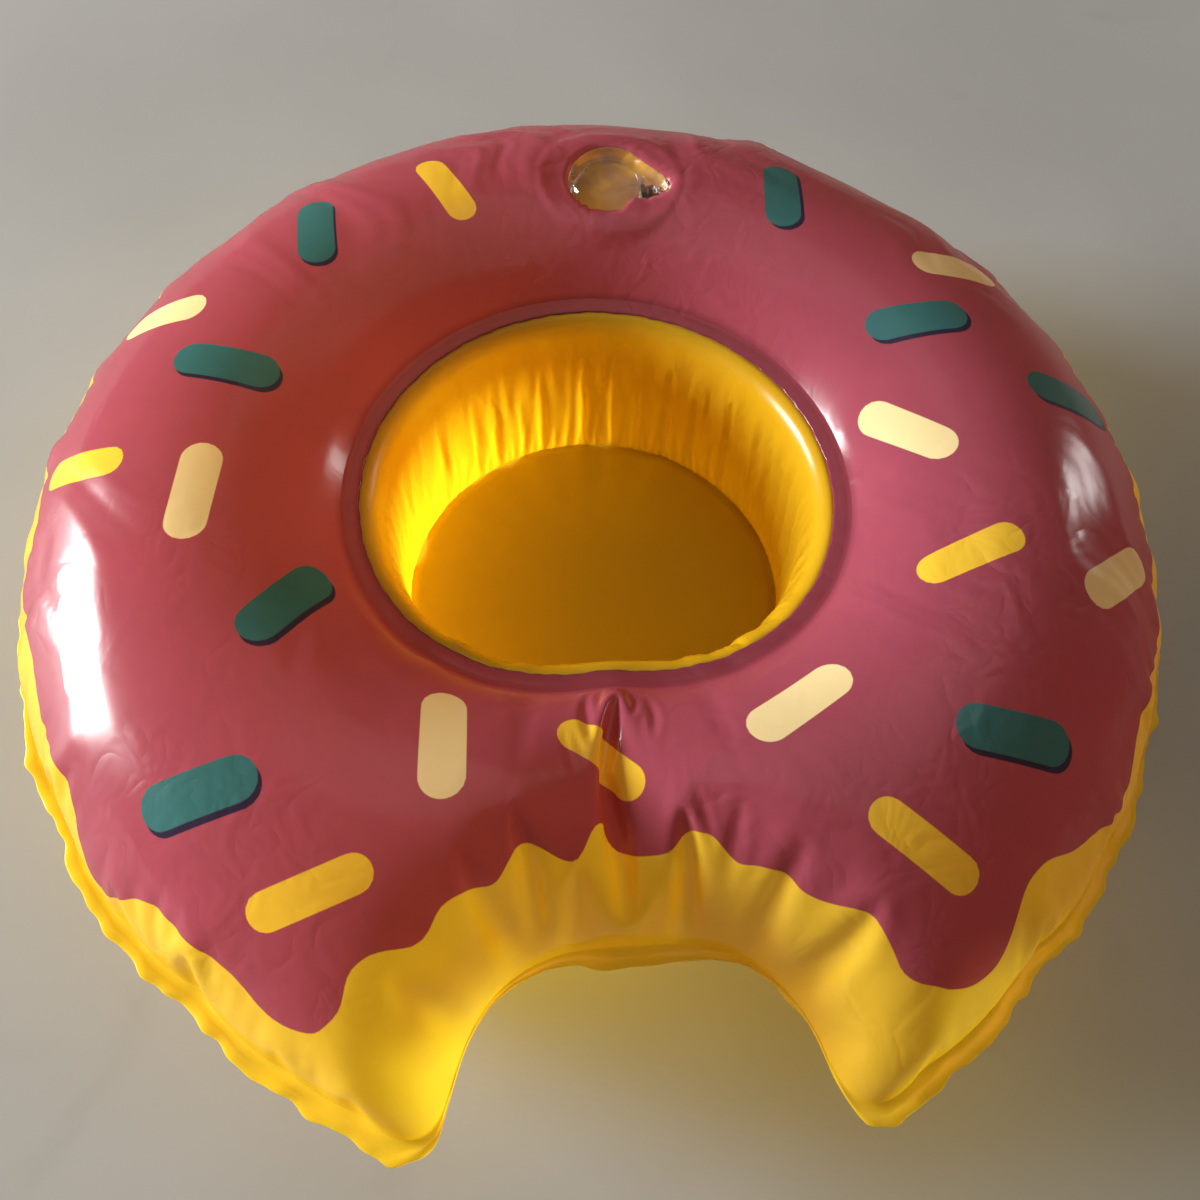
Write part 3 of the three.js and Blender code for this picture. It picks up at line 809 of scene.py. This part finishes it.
# The floor's yellow vinyl is coloured darker than the sleeve's: painted shade at the foot of the
# cup.
colour = clouded(tree, 25.0, (0.63, 0.45, 0.007), (0.69, 0.50, 0.009))
dress(tree, shader, colour, 0.03, 0.5)
shader.inputs["Specular IOR Level"].default_value = 0.2
base.data.materials.append(shaded_floor_yellow)
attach(base, "root")
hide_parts("cup_floor")

# ---------------------------------------------------------------------------------------------
# Valve body. A soft clear tube, moulded with its flange, pushed down into the air ring so that
# only the rim of the tube shows round the stopper.
# ---------------------------------------------------------------------------------------------
TUBE_BORE, TUBE_WALL, TUBE_DEPTH = 5.6, 1.0, 10.5
bearings = 2 * np.pi * np.arange(96) / 96
spokes = np.column_stack([np.cos(bearings), np.sin(bearings), 0 * bearings])


def on_valve(radius, height):
    """A loop round the valve's axis, tilted with the film: a radius in mm, one for all
    bearings or one for each, and a height above the film."""
    loop = np.asarray(radius).reshape(-1, 1) * spokes
    loop[:, 2] = loop[:, :2] @ valve_plane[:2] + valve_plane[2] + height
    loop[:, :2] += valve_axis
    return loop


tube_rim = TUBE_BORE + TUBE_WALL
profile = [
    (TUBE_BORE, -TUBE_DEPTH), (tube_rim, -TUBE_DEPTH), (tube_rim, -1.9), (tube_rim - 0.15, -1.75),
    (TUBE_BORE + 0.15, -1.75), (TUBE_BORE, -1.9),
]
tube = closed_grid("valve_tube", np.stack([on_valve(r, z) for r, z in profile], 1))
clear, tree, shader = new_material("clear_vinyl", tint=(0.80, 0.78, 0.74))
spot = node(tree, "ShaderNodeTexCoord").outputs["Object"]
flow = node(
    tree,
    "ShaderNodeTexNoise",
    {"Vector": spot, "Scale": 210.0, "Detail": 2.0, "Roughness": 0.4, "Distortion": 1.2},
)
ripple = node(
    tree, "ShaderNodeBump", {"Height": flow.outputs["Fac"], "Strength": 0.35, "Distance": 0.001}
)
haze = threshold(tree, flow.outputs["Fac"], 0.45, 0.7)
colour = mix(tree, haze, (1.0, 1.0, 1.0), (0.97, 0.96, 0.97))
tree.links.new(colour, shader.inputs["Base Color"])
tree.links.new(ripple.outputs[0], shader.inputs["Normal"])
shader.inputs["Roughness"].default_value = 0.04
shader.inputs["IOR"].default_value = 1.5
shader.inputs["Transmission Weight"].default_value = 1.0
tube.data.materials.append(clear)
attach(tube, "root")
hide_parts("valve_body")

# ---------------------------------------------------------------------------------------------
# Valve plug. The clear stopper: a pear-shaped cap that lies in the hole of the printed film,
# with its tongue to one side to pull it by, and a plug under it that fills the tube.
# ---------------------------------------------------------------------------------------------
outline = pear(bearings) - lapped(bearings)
stopper = TUBE_BORE - 0.15
cap = [
    (stopper * 0.8, -7.0), (stopper, -6.4), (stopper, -1.9), (outline - 1.6, -1.7),
    (outline - 0.5, -1.45), (outline - 0.1, -1.0), (outline - 0.05, -0.1), (outline - 0.3, 0.6),
    (outline - 0.9, 1.2), (outline - 1.8, 1.5), (0.62 * outline, 1.3), (0.4 * outline, 0.7),
    (0.2 * outline, 0.9), (0.1 * outline, 1.3),
]
loops = [on_valve(r, z) for r, z in cap]
plug = closed_stack("valve_stopper", loops, loops[0].mean(0), loops[-1].mean(0) + 0.05 * UP)
plug.data.materials.append(clear)
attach(plug, "root")
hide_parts("valve_plug")

# ---------------------------------------------------------------------------------------------
# Table. A pale stone worktop with a faint cloudy pattern and a few darker marks. It carries
# the shadow and isn't part of the object.
# ---------------------------------------------------------------------------------------------
bpy.ops.mesh.primitive_plane_add(size=6, location=(0, 0, 0))
table = bpy.context.object
table.name = "table"
STONE_DARK, STONE_PALE, STONE_MARK = (0.385, 0.38, 0.36), (0.435, 0.43, 0.41), (0.33, 0.315, 0.29)
stone, tree, shader = new_material("pale_stone")
spot = node(tree, "ShaderNodeTexCoord").outputs["Object"]
cloud = node(tree, "ShaderNodeTexNoise", {"Vector": spot, "Scale": 9.0, "Detail": 3.0})
vein = node(
    tree, "ShaderNodeTexNoise", {"Vector": spot, "Scale": 30.0, "Detail": 4.0, "Distortion": 0.8}
)
cloud = threshold(tree, cloud.outputs["Fac"], 0.3, 0.75)
colour = mix(tree, cloud, STONE_DARK, STONE_PALE)
marks = threshold(tree, vein.outputs["Fac"], 0.62, 0.78)
colour = mix(tree, calculate(tree, "MULTIPLY", marks, 0.35), colour, STONE_MARK)
tree.links.new(colour, shader.inputs["Base Color"])
shader.inputs["Roughness"].default_value = 0.6
shader.inputs["Specular IOR Level"].default_value = 0.25
table.data.materials.append(stone)

# ---------------------------------------------------------------------------------------------
# Light. A low window at the left, a little behind, is the strong light. A pale ceiling and a
# doorway at the right are much weaker, and the room itself is dim and warm.
# ---------------------------------------------------------------------------------------------
world = bpy.data.worlds.new("room")
world.use_nodes = True
world.node_tree.nodes["Background"].inputs["Color"].default_value = (1.0, 0.90, 0.79, 1)
world.node_tree.nodes["Background"].inputs["Strength"].default_value = 0.13
bpy.context.scene.world = world


def softbox(name, centre, target, width, height, watts, colour):
    """A rectangular light of width by height metres that faces its target."""
    light = bpy.data.objects.new(name, bpy.data.lights.new(name, "AREA"))
    light.data.shape = "RECTANGLE"
    light.data.size, light.data.size_y = width, height
    light.data.energy, light.data.color = watts, colour
    centre, target = np.array(centre), np.array(target)
    back = (centre - target) / np.linalg.norm(centre - target)
    side = np.cross(UP, back)
    side /= np.linalg.norm(side)
    top_way = np.cross(back, side)
    light.matrix_world = Matrix(
        [[side[k], top_way[k], back[k], centre[k]] for k in range(3)] + [[0, 0, 0, 1]]
    )
    bpy.context.scene.collection.objects.link(light)


softbox("window", (-1.6, 0.35, 0.40), (0, 0, 0.03), 0.7, 0.5, 77, (1.0, 0.98, 0.96))
softbox("ceiling", (0.2, 0.3, 1.6), (0, 0, 0), 1.2, 1.2, 2, (1.0, 0.95, 0.88))
softbox("doorway", (1.45, 0.75, 0.5), (0, 0, 0.03), 0.16, 0.36, 2.5, (1.0, 0.97, 0.94))
bpy.context.scene.view_settings.view_transform = "Standard"
